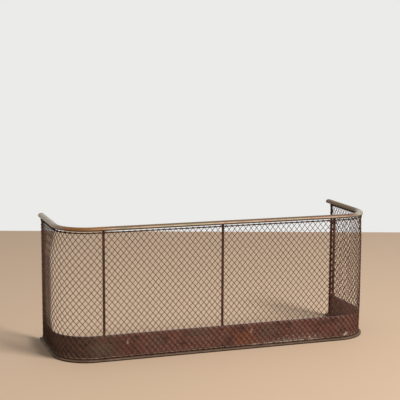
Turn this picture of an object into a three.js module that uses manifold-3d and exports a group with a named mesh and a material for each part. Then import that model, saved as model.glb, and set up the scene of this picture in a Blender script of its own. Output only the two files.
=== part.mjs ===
// A brass-topped wirework hearth fender, free standing on its own iron foot.
// Millimetres, +Z up. The long front faces -Y, and the open back faces +Y.
// The origin is on the floor, under the middle of the fender's outer box.

import * as THREE from 'three';
import { mergeVertices } from 'three/addons/utils/BufferGeometryUtils.js';
import Module from 'manifold-3d';

const wasm = await Module();
wasm.setup();

// Overall sizes
const fenderLength = 1020;
const fenderDepth = 325;
const fenderHeight = 404;

// Plan of the net, which every other piece follows
const baseProjection = 10;
const cornerRadius = 102;
const railOverhang = 26;
const cornerSteps = 12;

// Fits
const seatGap = 0.3;
const skirtClearance = 0.4;
const holeClearance = 0.3;
const joinOverlap = 0.1;
const cutOverrun = 1;

// Brass rail: a hollow D of sheet with a slot below, closed by domed ends
const railWidth = 21;
const railHeight = 11.5;
const railWall = 1.2;
const railEdgeRadius = 3;
const railSlotWidth = 11;
const railInset = 4;
const railDomeSteps = 10;
const railEdgeSteps = 2;
const capLength = 7;
const capSpigotLength = 8;
const capDomeSpread = 1.24;
const capDomeRise = 1.6;
const capDomeCentre = 0.45;
const capSides = 24;
const capRings = 16;

// Iron bar inside the brass rail: it laps over the slot's lips and stays clear of the dome
const coreLap = 0.5;
const coreHeadroom = 1.1;

// Iron foot, a flat bar with a round nose
const baseWidth = 25;
const baseThickness = 7;
const baseNoseSteps = 6;
const baseTail = 9;
const baseChamfer = 0.8;

// Sheet-iron skirt
const skirtTop = 78;
const skirtThickness = 1.2;

// Upright bars
const stayWidth = 7;
const stayDepth = 5;
const stayChamfer = 0.8;
const stayTenonDiameter = 4.4;
const postDiameter = 8;
const postSlotClearance = 0.5;
const postTenonDiameter = 5;
const postSides = 20;
const tenonSides = 12;
const tenonRecess = 0.5;

// Woven net and the two rods that its wires are turned round
const wireDiameter = 1.8;
const cellWidth = 17.8;
const cellHeight = 20.8;
const cellsPerDrawnCell = 3;
const stayCellsFromCorner = 1.5;
const rodDiameter = 3.6;
const rodSides = 10;
const rodBelowRail = 5.5;
const eyeWall = 2;

// Studs that tie the rods to the stays, and rivets that hold the skirt
const studEyeWall = 1.3;
const studEyeWidth = 3;
const studEyeSides = 12;
const studShankDiameter = 3;
const rivetShankDiameter = 3;
const rivetHeadDiameter = 5;
const rivetTailDiameter = 6;
const tailThickness = 1.4;
const rivetBelowSkirtTop = 12;

// Places worked out from the sizes above
const halfNet = fenderLength / 2 - baseProjection;
const frontY = baseProjection - fenderDepth / 2;
const rearTipY = fenderDepth / 2;
const postY = rearTipY - railOverhang;
const cornerX = halfNet - cornerRadius;
const cornerY = frontY + cornerRadius;
const cornerArc = cornerRadius * Math.PI / 2;
const sideRun = postY - cornerY;
const railBottom = fenderHeight - railHeight;
const coreBottom = railBottom + railWall + seatGap;
const coreWidth = railSlotWidth + 2 * coreLap;
const coreShare = coreWidth / (railWidth - 2 * railWall);
const domeRise = (railHeight - railEdgeRadius - railWall) * Math.sqrt(1 - coreShare ** 2);
const coreTop = railBottom + railEdgeRadius + domeRise - coreHeadroom;
const coreThickness = coreTop - coreBottom;
const postInset = railInset - railSlotWidth / 2 + postSlotClearance + postDiameter / 2;
const netThickness = 2 * wireDiameter;
const skirtInset = netThickness / 2 + skirtClearance;
const skirtBottom = baseThickness + seatGap;
const stayFront = skirtInset + skirtThickness + seatGap;
const stayInset = stayFront + stayDepth / 2;
const topRodZ = railBottom - rodBelowRail;
const bottomRodZ = baseThickness + seatGap + wireDiameter + rodDiameter / 2;
const postX = halfNet - postInset;
const stayY = frontY + stayInset;
const stayX = cornerX - stayCellsFromCorner * cellWidth;
const stays = [
  { side: 'left', x: -stayX },
  { side: 'centre', x: 0 },
  { side: 'right', x: stayX },
];
const ends = [
  { side: 'left', sign: -1 },
  { side: 'right', sign: 1 },
];

const brass = { color: 0x9c7c48, roughness: 0.42, metalness: 1 };
const blackIron = { color: 0x40312a, roughness: 0.7, metalness: 0.6 };
const rustyIron = { color: 0x4f332b, roughness: 0.8, metalness: 0.35 };
const skirtIron = { color: 0x61403a, roughness: 0.75, metalness: 0.3 };
const footIron = { color: 0x5d5342, roughness: 0.65, metalness: 0.55 };

const fender = new THREE.Group();

function addPiece(name, geometry, look) {
  const mesh = new THREE.Mesh(geometry, new THREE.MeshStandardMaterial(look));
  mesh.name = name;
  fender.add(mesh);
  return mesh;
}

// Joining and cutting

function toSolid(geometry) {
  const bare = geometry.clone();
  bare.deleteAttribute('normal');
  bare.deleteAttribute('uv');
  const merged = mergeVertices(bare, 1e-4);
  return new wasm.Manifold(new wasm.Mesh({
    numProp: 3,
    vertProperties: new Float32Array(merged.attributes.position.array),
    triVerts: new Uint32Array(merged.index.array),
  }));
}

function toGeometry(solid) {
  const mesh = solid.getMesh();
  const geometry = new THREE.BufferGeometry();
  geometry.setAttribute('position', new THREE.BufferAttribute(mesh.vertProperties, 3));
  geometry.setIndex(new THREE.BufferAttribute(mesh.triVerts, 1));
  geometry.computeVertexNormals();
  return geometry;
}

function join(first, ...others) {
  return others.reduce((sum, other) => sum.add(toSolid(other)), toSolid(first));
}

function cut(solid, ...tools) {
  return tools.reduce((rest, tool) => rest.subtract(toSolid(tool)), solid);
}

// Simple shapes

function box(sizeX, sizeY, sizeZ, x, y, z) {
  return new THREE.BoxGeometry(sizeX, sizeY, sizeZ).translate(x, y, z);
}

function uprightCylinder(diameter, bottom, top, x, y, sides) {
  return new THREE.CylinderGeometry(diameter / 2, diameter / 2, top - bottom, sides)
    .rotateX(Math.PI / 2)
    .translate(x, y, (top + bottom) / 2);
}

function inwardCylinder(diameter, front, back, x, z, sides) {
  return new THREE.CylinderGeometry(diameter / 2, diameter / 2, back - front, sides)
    .translate(x, (back + front) / 2, z);
}

function ring(innerRadius, outerRadius, width, sides) {
  const half = width / 2;
  const profile = [
    new THREE.Vector2(innerRadius, -half),
    new THREE.Vector2(outerRadius, -half),
    new THREE.Vector2(outerRadius, half),
    new THREE.Vector2(innerRadius, half),
    new THREE.Vector2(innerRadius, -half),
  ];
  return new THREE.LatheGeometry(profile, sides);
}

function ellipsePoints(x, z, radiusX, radiusZ, from, to, steps) {
  const points = [];
  for (let step = 0; step <= steps; step += 1) {
    const angle = from + (to - from) * step / steps;
    points.push(new THREE.Vector2(x + radiusX * Math.cos(angle), z + radiusZ * Math.sin(angle)));
  }
  return points;
}

// The line that the fender follows in plan, set in from the net by an inset. Its stations
// are the two rear ends and the steps of the two round corners.

class FenderLine extends THREE.Curve {
  constructor(inset, rearY, height) {
    super();
    this.points = [];
    this.tangents = [];
    this.addStation(inset - halfNet, rearY, height, 0, -1);
    for (const { sign } of ends) {
      for (let step = 0; step <= cornerSteps; step += 1) {
        const turn = Math.PI / 2 * step / cornerSteps;
        const angle = (sign < 0 ? Math.PI : 1.5 * Math.PI) + turn;
        const radius = cornerRadius - inset;
        const x = sign * cornerX + radius * Math.cos(angle);
        const y = cornerY + radius * Math.sin(angle);
        this.addStation(x, y, height, -Math.sin(angle), Math.cos(angle));
      }
    }
    this.addStation(halfNet - inset, rearY, height, 0, 1);
  }

  addStation(x, y, z, alongX, alongY) {
    this.points.push(new THREE.Vector3(x, y, z));
    this.tangents.push(new THREE.Vector3(alongX, alongY, 0));
  }

  get steps() {
    return this.points.length - 1;
  }

  getPointAt(share, target = new THREE.Vector3()) {
    return target.copy(this.points[Math.round(share * this.steps)]);
  }

  getTangentAt(share, target = new THREE.Vector3()) {
    return target.copy(this.tangents[Math.round(share * this.steps)]);
  }
}

// A section is drawn with x inward and y up, and run along the fender line.

function sweep(sectionPoints, inset, rearY, height) {
  const section = new THREE.Shape(sectionPoints.map(({ x, y }) => new THREE.Vector2(-y, x)));
  const line = new FenderLine(inset, rearY, height);
  return new THREE.ExtrudeGeometry(section, {
    steps: line.steps,
    extrudePath: line,
    bevelEnabled: false,
  });
}

function rectangle(left, right, bottom, top) {
  return [
    new THREE.Vector2(left, bottom),
    new THREE.Vector2(right, bottom),
    new THREE.Vector2(right, top),
    new THREE.Vector2(left, top),
  ];
}

// Brass rail

function railOutline(inset) {
  const half = railWidth / 2;
  const flat = half - railEdgeRadius;
  const edge = railEdgeRadius - inset;
  const quarter = Math.PI / 2;
  return [
    ...ellipsePoints(flat, railEdgeRadius, edge, edge, -quarter, 0, railEdgeSteps),
    ...ellipsePoints(0, railEdgeRadius, half - inset, railHeight - railEdgeRadius - inset,
      0, Math.PI, railDomeSteps).slice(1, -1),
    ...ellipsePoints(-flat, railEdgeRadius, edge, edge, Math.PI, 3 * quarter, railEdgeSteps),
  ];
}

function buildRail() {
  const lip = railSlotWidth / 2;
  const section = [
    new THREE.Vector2(lip, 0),
    ...railOutline(0),
    new THREE.Vector2(-lip, 0),
    new THREE.Vector2(-lip, railWall),
    ...railOutline(railWall).reverse(),
    new THREE.Vector2(lip, railWall),
  ];
  addPiece('brass_top_rail', sweep(section, railInset, rearTipY - capLength, railBottom), brass);
}

function railPlug(inset, length) {
  const outline = new THREE.Shape(railOutline(inset));
  return new THREE.ExtrudeGeometry(outline, { depth: length, bevelEnabled: false })
    .rotateX(Math.PI / 2);
}

function buildRailEnds() {
  const plugTop = capLength - seatGap;
  const dome = new THREE.SphereGeometry(1, capSides, capRings)
    .scale(capDomeSpread * railWidth / 2, plugTop, capDomeRise * railHeight / 2)
    .translate(0, 0, capDomeCentre * railHeight);
  const head = railPlug(0, 2 * plugTop).translate(0, 2 * plugTop, 0);
  const spigot = railPlug(railWall + seatGap, capSpigotLength + joinOverlap)
    .translate(0, joinOverlap, 0);
  const cap = toSolid(head).intersect(toSolid(dome)).add(toSolid(spigot));
  for (const { side, sign } of ends) {
    const mesh = addPiece(`rail_end_${side}`, toGeometry(cap), brass);
    mesh.position.set(sign * (halfNet - railInset), rearTipY - plugTop, railBottom);
  }
}

function buildRailCore() {
  const half = coreWidth / 2;
  const section = rectangle(-half, half, 0, coreThickness);
  const rearY = rearTipY - capLength - capSpigotLength - seatGap;
  const bar = toSolid(sweep(section, railInset, rearY, coreBottom));
  addPiece('rail_core_bar', toGeometry(cut(bar, ...tenonHoles())), blackIron);
}

// Foot, skirt and uprights

function tenonHoles() {
  const stayHole = stayTenonDiameter + 2 * holeClearance;
  const postHole = postTenonDiameter + 2 * holeClearance;
  return [
    ...stays.map(({ x }) => uprightCylinder(stayHole, -cutOverrun, fenderHeight, x, stayY,
      tenonSides)),
    ...ends.map(({ sign }) => uprightCylinder(postHole, -cutOverrun, fenderHeight, sign * postX,
      postY, tenonSides)),
  ];
}

function buildBase() {
  const nose = baseThickness / 2;
  const back = baseWidth - baseProjection;
  const section = [
    ...ellipsePoints(nose - baseProjection, nose, nose, nose, Math.PI / 2, 1.5 * Math.PI,
      baseNoseSteps),
    new THREE.Vector2(back, 0),
    new THREE.Vector2(back, baseThickness - baseChamfer),
    new THREE.Vector2(back - baseChamfer, baseThickness),
  ];
  const bar = toSolid(sweep(section, 0, postY + baseTail, 0));
  addPiece('base_rail', toGeometry(cut(bar, ...tenonHoles())), footIron);
}

function skirtCuts() {
  const eyeRadius = postDiameter / 2 + 2 * seatGap + eyeWall;
  const studTop = bottomRodZ + rodDiameter / 2 + studEyeWall + 2 * seatGap;
  const notchWidth = studEyeWidth + 2 * holeClearance;
  const rivetZ = skirtTop - rivetBelowSkirtTop;
  const front = frontY + skirtInset - cutOverrun;
  const back = frontY + stayFront;
  const cuts = [];
  for (const { x } of stays) {
    cuts.push(box(notchWidth, back - front, studTop, x, (front + back) / 2, studTop / 2));
    cuts.push(inwardCylinder(rivetHeadDiameter + 2 * holeClearance, front, back, x, rivetZ,
      tenonSides));
  }
  for (const { sign } of ends) {
    cuts.push(uprightCylinder(2 * eyeRadius, 0, bottomRodZ + rodDiameter / 2 + seatGap,
      sign * postX, postY, postSides));
  }
  return cuts;
}

function buildSkirt() {
  const section = rectangle(0, skirtThickness, 0, skirtTop - skirtBottom);
  const rearY = postY - postDiameter / 2 - seatGap;
  const sheet = toSolid(sweep(section, skirtInset, rearY, skirtBottom));
  addPiece('skirt', toGeometry(cut(sheet, ...skirtCuts())), skirtIron);
}

function stayBar() {
  const halfWidth = stayWidth / 2;
  const halfDepth = stayDepth / 2;
  const outline = new THREE.Shape([
    new THREE.Vector2(-halfWidth + stayChamfer, -halfDepth),
    new THREE.Vector2(halfWidth - stayChamfer, -halfDepth),
    new THREE.Vector2(halfWidth, -halfDepth + stayChamfer),
    new THREE.Vector2(halfWidth, halfDepth - stayChamfer),
    new THREE.Vector2(halfWidth - stayChamfer, halfDepth),
    new THREE.Vector2(-halfWidth + stayChamfer, halfDepth),
    new THREE.Vector2(-halfWidth, halfDepth - stayChamfer),
    new THREE.Vector2(-halfWidth, -halfDepth + stayChamfer),
  ]);
  const bottom = baseThickness + seatGap;
  const top = coreBottom - seatGap;
  return new THREE.ExtrudeGeometry(outline, { depth: top - bottom, bevelEnabled: false })
    .translate(0, 0, bottom);
}

function buildStays() {
  const tenonTop = coreTop - tenonRecess;
  const tenon = uprightCylinder(stayTenonDiameter, tenonRecess, tenonTop, 0, 0, tenonSides);
  const back = stayDepth;
  const studHole = studShankDiameter + 2 * holeClearance;
  const rivetHole = rivetShankDiameter + 2 * holeClearance;
  const bar = cut(
    join(stayBar(), tenon),
    inwardCylinder(studHole, -back, back, 0, topRodZ, tenonSides),
    inwardCylinder(studHole, -back, back, 0, bottomRodZ, tenonSides),
    inwardCylinder(rivetHole, -back, back, 0, skirtTop - rivetBelowSkirtTop, tenonSides),
  );
  for (const { side, x } of stays) {
    const mesh = addPiece(`front_stay_${side}`, toGeometry(bar), rustyIron);
    mesh.position.set(x, stayY, 0);
  }
}

function buildPosts() {
  const bottom = baseThickness + seatGap;
  const top = coreBottom - seatGap;
  const tenonTop = coreTop - tenonRecess;
  const post = join(
    uprightCylinder(postDiameter, bottom, top, 0, 0, postSides),
    uprightCylinder(postTenonDiameter, tenonRecess, tenonTop, 0, 0, tenonSides),
  );
  for (const { side, sign } of ends) {
    const mesh = addPiece(`rear_post_${side}`, toGeometry(post), rustyIron);
    mesh.position.set(sign * postX, postY, 0);
  }
}

// Rods, with an eye forged at each end to go round a rear post

function buildRod(name, z) {
  const radius = rodDiameter / 2;
  const eyeInner = postDiameter / 2 + seatGap;
  const round = ellipsePoints(0, 0, radius, radius, 0, 2 * Math.PI, rodSides).slice(0, -1);
  const rod = sweep(round, 0, postY - eyeInner, z);
  const eyes = ends.map(({ sign }) => ring(eyeInner, eyeInner + eyeWall, rodDiameter, postSides)
    .rotateX(Math.PI / 2)
    .translate(sign * postX, postY, z));
  addPiece(name, toGeometry(join(rod, ...eyes)), rustyIron);
}

// Studs: an eye round the rod, a shank through the stay and a tail closed behind it

function buildStuds(level, z) {
  const eyeInner = rodDiameter / 2 + seatGap;
  const back = stayFront + stayDepth;
  const tailFront = back + seatGap;
  const eye = ring(eyeInner, eyeInner + studEyeWall, studEyeWidth, studEyeSides)
    .rotateZ(Math.PI / 2);
  const shank = inwardCylinder(studShankDiameter, eyeInner + studEyeWall / 2,
    tailFront + joinOverlap, 0, 0, tenonSides);
  const tail = inwardCylinder(rivetTailDiameter, tailFront, tailFront + tailThickness, 0, 0,
    tenonSides);
  const stud = join(eye, shank, tail);
  for (const { side, x } of stays) {
    const mesh = addPiece(`rod_stud_${level}_${side}`, toGeometry(stud), blackIron);
    mesh.position.set(x, frontY, z);
  }
}

function buildSkirtRivets() {
  const headBack = skirtInset + skirtThickness;
  const tailFront = stayFront + stayDepth + seatGap;
  const rivet = join(
    inwardCylinder(rivetHeadDiameter, skirtInset, headBack, 0, 0, tenonSides),
    inwardCylinder(rivetShankDiameter, skirtInset, tailFront + joinOverlap, 0, 0, tenonSides),
    inwardCylinder(rivetTailDiameter, tailFront, tailFront + tailThickness, 0, 0, tenonSides),
  );
  for (const { side, x } of stays) {
    const mesh = addPiece(`skirt_rivet_${side}`, toGeometry(rivet), blackIron);
    mesh.position.set(x, frontY, skirtTop - rivetBelowSkirtTop);
  }
}

// Net. Places on it are a distance along the net from the left rear post, a height and a
// depth that grows inward.

const netLength = 2 * sideRun + 2 * cornerArc + 2 * cornerX;

function onNet(distance, height, depth) {
  const left = distance < netLength / 2;
  const sign = left ? -1 : 1;
  const fromEnd = left ? distance : netLength - distance;
  if (fromEnd < sideRun) {
    return new THREE.Vector3(sign * (halfNet - depth), postY - fromEnd, height);
  }
  if (fromEnd < sideRun + cornerArc) {
    const turn = (fromEnd - sideRun) / cornerRadius;
    const radius = cornerRadius - depth;
    const x = cornerX + radius * Math.cos(turn);
    return new THREE.Vector3(sign * x, cornerY - radius * Math.sin(turn), height);
  }
  const x = cornerX - (fromEnd - sideRun - cornerArc);
  return new THREE.Vector3(sign * x, frontY + depth, height);
}

// A diamond lattice as one closed body: a small rhombus at each crossing of two wires, and
// a bar of the wire's width between crossings. Only every third wire of each hand is drawn.

function latticeNet(from, to, columns, bottom, top, parity, barSteps) {
  const drawnWidth = cellsPerDrawnCell * cellWidth;
  const drawnHeight = cellsPerDrawnCell * cellHeight;
  const slope = Math.atan2(drawnHeight, drawnWidth);
  const tipAcross = wireDiameter / 2 / Math.sin(slope);
  const tipUp = wireDiameter / 2 / Math.cos(slope);
  const start = from + tipAcross;
  const width = to - tipAcross - start;
  const rows = 2 * Math.max(1, Math.round((top - bottom) / drawnHeight));
  const stepAcross = width / columns;
  const stepUp = (top - bottom - 2 * tipUp) / rows;
  const half = netThickness / 2;
  const positions = [];

  const crossing = (column, row) => ({
    across: start + column * stepAcross,
    up: bottom + tipUp + row * stepUp,
  });
  const isCrossing = (column, row) => column >= 0 && column <= columns
    && row >= 0 && row <= rows && (column + row + parity) % 2 === 0;
  const quad = (a, b, c, d) => [a, b, c, a, c, d].forEach((place) => {
    positions.push(...onNet(...place).toArray());
  });
  // a and b run along the outside of the net with the solid on their left
  const wall = (a, b) => quad([...b, -half], [...a, -half], [...a, half], [...b, half]);
  const faces = (a, b, c, d) => {
    quad([...a, -half], [...b, -half], [...c, -half], [...d, -half]);
    quad([...d, half], [...c, half], [...b, half], [...a, half]);
  };
  const between = (a, b, share) => [a[0] + (b[0] - a[0]) * share, a[1] + (b[1] - a[1]) * share];

  for (let column = 0; column <= columns; column += 1) {
    for (let row = 0; row <= rows; row += 1) {
      if (!isCrossing(column, row)) continue;
      const { across, up } = crossing(column, row);
      const right = [across + tipAcross, up];
      const above = [across, up + tipUp];
      const left = [across - tipAcross, up];
      const below = [across, up - tipUp];
      faces(below, right, above, left);
      const edges = [
        { toColumn: 1, toRow: 1, a: right, b: above },
        { toColumn: -1, toRow: 1, a: above, b: left },
        { toColumn: -1, toRow: -1, a: left, b: below },
        { toColumn: 1, toRow: -1, a: below, b: right },
      ];
      for (const { toColumn, toRow, a, b } of edges) {
        if (!isCrossing(column + toColumn, row + toRow)) {
          wall(a, b);
        } else if (toColumn > 0) {
          const farAcross = across + stepAcross;
          const farUp = up + toRow * stepUp;
          const farA = [farAcross + across - b[0], farUp + up - b[1]];
          const farB = [farAcross + across - a[0], farUp + up - a[1]];
          for (let step = 0; step < barSteps; step += 1) {
            const a0 = between(a, farA, step / barSteps);
            const a1 = between(a, farA, (step + 1) / barSteps);
            const b0 = between(b, farB, step / barSteps);
            const b1 = between(b, farB, (step + 1) / barSteps);
            faces(a0, a1, b1, b0);
            wall(a0, a1);
            wall(b1, b0);
          }
        }
      }
    }
  }
  const geometry = new THREE.BufferGeometry();
  geometry.setAttribute('position', new THREE.Float32BufferAttribute(positions, 3));
  const merged = mergeVertices(geometry, 1e-4);
  merged.computeVertexNormals();
  return merged;
}

// Along the front the drawn wires end on the rods in an odd number of steps, so that every
// stay stands between two of them.

function nearestOdd(value) {
  return 2 * Math.max(0, Math.round((value - 1) / 2)) + 1;
}

function buildNet() {
  const bottom = bottomRodZ + rodDiameter / 2 + seatGap;
  const top = topRodZ - rodDiameter / 2 - seatGap;
  const postClear = postDiameter / 2 + seatGap;
  const seam = seatGap / 2;
  const cornerStart = sideRun + seam;
  const cornerEnd = sideRun + cornerArc - seam;
  const frontStart = sideRun + cornerArc + seam;
  const drawnWidth = cellsPerDrawnCell * cellWidth;
  const drawnColumns = (from, to) => Math.max(1, Math.round(2 * (to - from) / drawnWidth));

  const frontEnd = netLength - frontStart;
  const frontColumns = 2 * nearestOdd((frontEnd - frontStart) / drawnWidth);
  const front = latticeNet(frontStart, frontEnd, frontColumns, bottom, top, 0, 1);
  addPiece('net_front', front, rustyIron);

  const cornerColumns = drawnColumns(cornerStart, cornerEnd);
  const sideEnd = sideRun - seam;
  const sideColumns = drawnColumns(postClear, sideEnd);
  const leftCorner = latticeNet(cornerStart, cornerEnd, cornerColumns, bottom, top, 0, 2);
  addPiece('net_corner_left', leftCorner, rustyIron);
  const rightCorner = latticeNet(netLength - cornerEnd, netLength - cornerStart, cornerColumns,
    bottom, top, 0, 2);
  addPiece('net_corner_right', rightCorner, rustyIron);
  const leftSide = latticeNet(postClear, sideEnd, sideColumns, bottom, top, sideColumns % 2, 1);
  addPiece('net_side_left', leftSide, rustyIron);
  const rightSide = latticeNet(netLength - sideEnd, netLength - postClear, sideColumns, bottom,
    top, 0, 1);
  addPiece('net_side_right', rightSide, rustyIron);
}

buildBase();
buildSkirt();
buildPosts();
buildStays();
buildRod('bottom_rod', bottomRodZ);
buildRod('top_rod', topRodZ);
buildStuds('bottom', bottomRodZ);
buildStuds('top', topRodZ);
buildSkirtRivets();
buildNet();
buildRailCore();
buildRail();
buildRailEnds();

export default fender;
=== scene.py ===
import math

import bmesh
import bpy
from mathutils import Matrix, Vector, noise


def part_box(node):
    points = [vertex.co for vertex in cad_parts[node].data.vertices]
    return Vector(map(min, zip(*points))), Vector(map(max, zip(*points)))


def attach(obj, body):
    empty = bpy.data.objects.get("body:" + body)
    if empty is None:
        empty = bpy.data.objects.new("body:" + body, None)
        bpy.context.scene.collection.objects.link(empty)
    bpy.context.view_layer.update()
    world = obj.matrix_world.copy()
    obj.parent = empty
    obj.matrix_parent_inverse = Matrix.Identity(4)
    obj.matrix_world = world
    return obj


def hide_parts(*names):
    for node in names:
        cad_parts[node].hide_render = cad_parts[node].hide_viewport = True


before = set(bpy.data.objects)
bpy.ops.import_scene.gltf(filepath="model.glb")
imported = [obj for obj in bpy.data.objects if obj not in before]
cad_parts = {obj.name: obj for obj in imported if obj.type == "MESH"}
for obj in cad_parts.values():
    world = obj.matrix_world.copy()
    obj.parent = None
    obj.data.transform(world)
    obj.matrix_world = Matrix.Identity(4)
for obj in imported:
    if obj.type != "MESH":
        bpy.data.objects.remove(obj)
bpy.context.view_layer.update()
scene = bpy.context.scene
scene.view_settings.view_transform = "Standard"
millimetre = 0.001
sameSpot = 0.001 * millimetre

# the line that the fender follows is read from the frame
panelSeam = 0.15 * millimetre  # half of the hairline gap between two net panels
frontLow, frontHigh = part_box("net_front")
sideLow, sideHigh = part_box("net_side_right")
postLow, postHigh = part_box("rear_post_right")
footLow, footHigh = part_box("base_rail")
plan = {
    "halfNet": (sideLow.x + sideHigh.x) / 2,
    "frontY": (frontLow.y + frontHigh.y) / 2,
    "postY": (postLow.y + postHigh.y) / 2,
    "cornerX": frontHigh.x + panelSeam,
    "cornerY": sideLow.y - panelSeam,
    "cornerSteps": 24,
    "frontSteps": 48,
    "sideSteps": 10,
}
plan["cornerRadius"] = plan["halfNet"] - plan["cornerX"]
plan["cornerArc"] = plan["cornerRadius"] * math.pi / 2
plan["sideRun"] = plan["postY"] - plan["cornerY"]

# the corners have been leant on and bulge outward between the rods, the left one more
belly = {
    "left": 12 * millimetre,
    "right": 3 * millimetre,
    "growsBy": 0.12,
    "fadesFrom": 0.17,
    "fadesBy": 0.34,
    "fullAbove": 0.12,
    "fullBelow": 0.30,
    "endsAt": (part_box("top_rod")[0].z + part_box("top_rod")[1].z) / 2,
}
print("frame loaded, net", round(2 * plan["halfNet"], 4), "m long")


def easeStep(value, start, end):
    share = min(max((value - start) / (end - start), 0.0), 1.0)
    return share * share * (3 - 2 * share)


# how far the fence bulges, at a distance from its nearer rear post and a height
def bellyOut(left, fromEnd, height):
    along = easeStep(fromEnd, 0, belly["growsBy"])
    along -= easeStep(fromEnd, belly["fadesFrom"], belly["fadesBy"])
    upward = easeStep(height, 0, belly["fullAbove"])
    upward -= easeStep(height, belly["fullBelow"], belly["endsAt"])
    return belly["left" if left else "right"] * max(along, 0.0) * max(upward, 0.0)


# where a point stands along the plan, and which way is outward there
def followPlan(point):
    side = -1 if point.x < 0 else 1
    if point.y > plan["cornerY"]:
        return plan["postY"] - point.y, Vector((side, 0, 0))
    if abs(point.x) < plan["cornerX"]:
        past = plan["cornerX"] - abs(point.x)
        return plan["sideRun"] + plan["cornerArc"] + past, Vector((0, -1, 0))
    outward = Vector((point.x - side * plan["cornerX"], point.y - plan["cornerY"], 0)).normalized()
    turn = math.atan2(-outward.y, abs(outward.x))
    return plan["sideRun"] + turn * plan["cornerRadius"], outward


# each part once, in the order in which it is first met
def onceEach(parts):
    return list(dict.fromkeys(parts))


def vertsOf(geometry):
    return [part for part in geometry if isinstance(part, bmesh.types.BMVert)]


def edgesOf(geometry):
    return [part for part in geometry if isinstance(part, bmesh.types.BMEdge)]


def runStraight(bm, edges, shift, steps):
    for _ in range(steps):
        made = bmesh.ops.extrude_edge_only(bm, edges=edges)["geom"]
        fresh = set(vertsOf(made))
        bmesh.ops.translate(bm, verts=list(fresh), vec=Vector(shift) / steps)
        edges = [edge for edge in edgesOf(made) if set(edge.verts) <= fresh]
    return edges


def runRound(bm, edges, side):
    corner = (side * plan["cornerX"], plan["cornerY"], 0)
    section = onceEach(vert for edge in edges for vert in edge.verts)
    made = bmesh.ops.spin(
        bm, geom=section + edges, cent=corner, axis=(0, 0, 1), angle=math.pi / 2,
        steps=plan["cornerSteps"], use_merge=False,
    )
    return edgesOf(made["geom_last"])


# a section drawn at the origin, x inward and z up, is stood at the left rear end and run
# forward, round, across, round and back
def runAlongPlan(bm, rearY):
    bmesh.ops.translate(bm, verts=bm.verts, vec=(-plan["halfNet"], rearY, 0))
    start = bm.edges[:]
    edges = runStraight(bm, start, (0, plan["cornerY"] - rearY, 0), plan["sideSteps"])
    edges = runRound(bm, edges, -1)
    edges = runStraight(bm, edges, (2 * plan["cornerX"], 0, 0), plan["frontSteps"])
    edges = runRound(bm, edges, 1)
    end = runStraight(bm, edges, (0, rearY - plan["cornerY"], 0), plan["sideSteps"])
    return start, end


def closeEnds(bm, start, end):
    bmesh.ops.contextual_create(bm, geom=start)
    bmesh.ops.contextual_create(bm, geom=end)
    bmesh.ops.recalc_face_normals(bm, faces=bm.faces)


def makePiece(name, bm, material, nodes, sharpAngle=35):
    mesh = bpy.data.meshes.new(name)
    bm.normal_update()
    bm.to_mesh(mesh)
    bm.free()
    return placePiece(name, mesh, material, nodes, sharpAngle)


def placePiece(name, mesh, material, nodes, sharpAngle=35):
    mesh.shade_smooth()
    mesh.set_sharp_from_angle(angle=math.radians(sharpAngle))
    mesh.materials.clear()
    mesh.materials.append(material)
    piece = bpy.data.objects.new(name, mesh)
    scene.collection.objects.link(piece)
    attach(piece, "root")
    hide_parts(*nodes)
    return piece


def paint(red, green, blue):
    def linear(value):
        share = value / 255
        return share / 12.92 if share <= 0.04045 else ((share + 0.055) / 1.055) ** 2.4
    return (linear(red), linear(green), linear(blue), 1)


def addNode(tree, kind, values=None, **settings):
    node = tree.nodes.new("ShaderNode" + kind)
    for name, value in settings.items():
        setattr(node, name, value)
    for key, value in (values or {}).items():
        if isinstance(value, bpy.types.NodeSocket):
            tree.links.new(value, node.inputs[key])
        else:
            node.inputs[key].default_value = value
    return node


def mixColour(tree, share, first, second):
    node = addNode(tree, "Mix", {0: share, 6: first, 7: second}, data_type="RGBA")
    return node.outputs[2]


def mixValue(tree, share, first, second):
    return addNode(tree, "Mix", {0: share, 2: first, 3: second}).outputs[0]


def calculate(tree, operation, first, second):
    return addNode(tree, "Math", {0: first, 1: second}, operation=operation).outputs[0]


# where all of the masks are
def overlap(tree, mask, *others):
    for other in others:
        mask = calculate(tree, "MULTIPLY", mask, other)
    return mask


# a colour laid over another one where a mask is, as thickly as the share says
def layOver(tree, colour, mask, over, share=1.0):
    return mixColour(tree, mask if share == 1 else overlap(tree, mask, share), colour, over)


def smoothShare(tree, value, start, end):
    node = addNode(tree, "MapRange", {
        "Value": value, "From Min": start, "From Max": end,
    }, interpolation_type="SMOOTHSTEP")
    return node.outputs[0]


def newGroup(name, inputs, output):
    group = bpy.data.node_groups.new(name, "ShaderNodeTree")
    for label, kind, start in inputs:
        socket = group.interface.new_socket(label, in_out="INPUT", socket_type="NodeSocket" + kind)
        socket.default_value = start
    group.interface.new_socket(output, in_out="OUTPUT", socket_type="NodeSocketFloat")
    return group, group.nodes.new("NodeGroupInput").outputs, group.nodes.new("NodeGroupOutput")


# clouds of tarnish or rust: 0 outside them and 1 inside
def makeMottle():
    group, given, result = newGroup("patinaMottle", [
        ("Stretch", "Vector", (1, 1, 1)), ("Scale", "Float", 20.0),
        ("From", "Float", 0.45), ("To", "Float", 0.6),
    ], "Mask")
    place = addNode(group, "TexCoord").outputs["Object"]
    stretched = addNode(group, "VectorMath", {0: place, 1: given["Stretch"]}, operation="MULTIPLY")
    cloud = addNode(group, "TexNoise", {
        "Vector": stretched.outputs[0], "Scale": given["Scale"], "Detail": 5.0, "Roughness": 0.6,
    })
    mask = smoothShare(group, cloud.outputs[0], given["From"], given["To"])
    group.links.new(mask, result.inputs["Mask"])
    return group


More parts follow.
